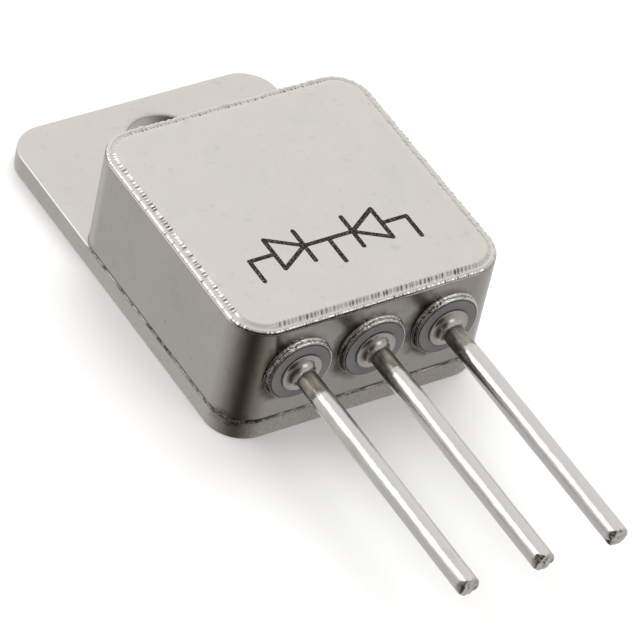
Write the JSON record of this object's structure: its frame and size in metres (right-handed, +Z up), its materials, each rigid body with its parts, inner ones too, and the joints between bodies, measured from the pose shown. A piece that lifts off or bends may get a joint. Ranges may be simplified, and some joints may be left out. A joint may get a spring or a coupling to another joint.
{
  "type": "schottky diode",
  "caption": "Dual common-cathode rectifier diode in a hermetic metal package: drilled mounting tab, brazed box with seam-welded lid, ceramic-sealed round leads.",
  "frame": {"origin": "centre of the mounting hole on the bottom face of the tab", "axes": "+Z up through the lid, square to the bottom face; leads run towards -Y from the case; the leads lie side by side along X, so +X is to the right when the leads point at the viewer"},
  "size_m": [0.0138, 0.0344, 0.0065],
  "materials": {
    "tab_nickel": "satin nickel plate",
    "wall_nickel": "satin nickel plate",
    "lid_nickel": "satin nickel plate",
    "braze": "dull braze alloy",
    "seal_metal": "bright braze-wetted metal",
    "seal_ceramic": "matte dark grey ceramic, opaque",
    "eyelet_metal": "smooth nickel plate",
    "lead_metal": "bright solder dip",
    "solder": "dull solder",
    "substrate_ceramic": "white ceramic",
    "copper": "bare copper",
    "molybdenum": "lapped grey metal",
    "silicon": "metallised silicon, mirror-like",
    "aluminium_ribbon": "rolled ribbon"
  },
  "bodies": {
    "root": {"base_tab": "tab_nickel", "wall_braze": "braze", "side_wall": "wall_nickel", "lid": "lid_nickel", "substrate_solder": "solder", "substrate": "substrate_ceramic", "cathode_pad": "copper", "cathode_jumper": "copper", "seal_ring_1": "seal_metal", "ceramic_seal_1": "seal_ceramic", "lead_eyelet_1": "eyelet_metal", "lead_1": "lead_metal", "seal_ring_2": "seal_metal", "ceramic_seal_2": "seal_ceramic", "lead_eyelet_2": "eyelet_metal", "lead_2": "lead_metal", "seal_ring_3": "seal_metal", "ceramic_seal_3": "seal_ceramic", "lead_eyelet_3": "eyelet_metal", "lead_3": "lead_metal", "tab_solder_1": "solder", "die_tab_1": "molybdenum", "die_solder_1": "solder", "schottky_die_1": "silicon", "anode_ribbon_1_1": "aluminium_ribbon", "anode_ribbon_1_2": "aluminium_ribbon", "tab_solder_2": "solder", "die_tab_2": "molybdenum", "die_solder_2": "solder", "schottky_die_2": "silicon", "anode_ribbon_2_1": "aluminium_ribbon", "anode_ribbon_2_2": "aluminium_ribbon"}
  },
  "joints": []
}
